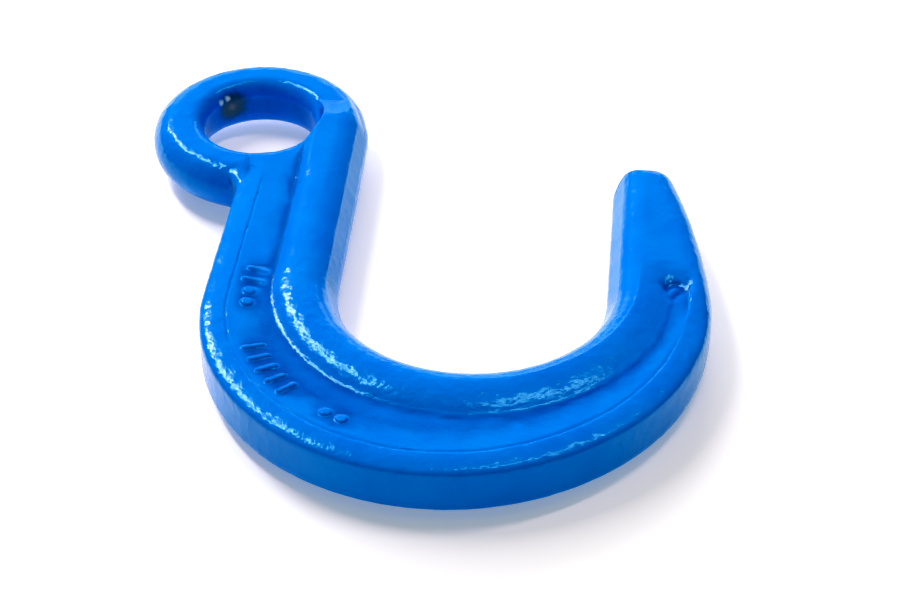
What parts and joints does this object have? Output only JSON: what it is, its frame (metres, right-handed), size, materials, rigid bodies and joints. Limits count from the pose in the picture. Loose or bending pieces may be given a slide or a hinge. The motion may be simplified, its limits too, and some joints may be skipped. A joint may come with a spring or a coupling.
{
  "type": "open eye hook",
  "caption": "One-piece forged eye hook with a round eye, a straight shank, a wide open throat and a blunt tip, in gloss enamel; hangs a sling or chain load in its bowl.",
  "frame": {"origin": "centre of the eye bore at mid-thickness", "axes": "+Z along the axis of the eye, +Y along the shank from the bowl to the eye, +X from the shank across the throat to the tip"},
  "size_m": [0.1707, 0.1888, 0.0204],
  "materials": {
    "enamel": "gloss"
  },
  "bodies": {
    "root": {"forged_hook": "enamel"}
  },
  "joints": []
}
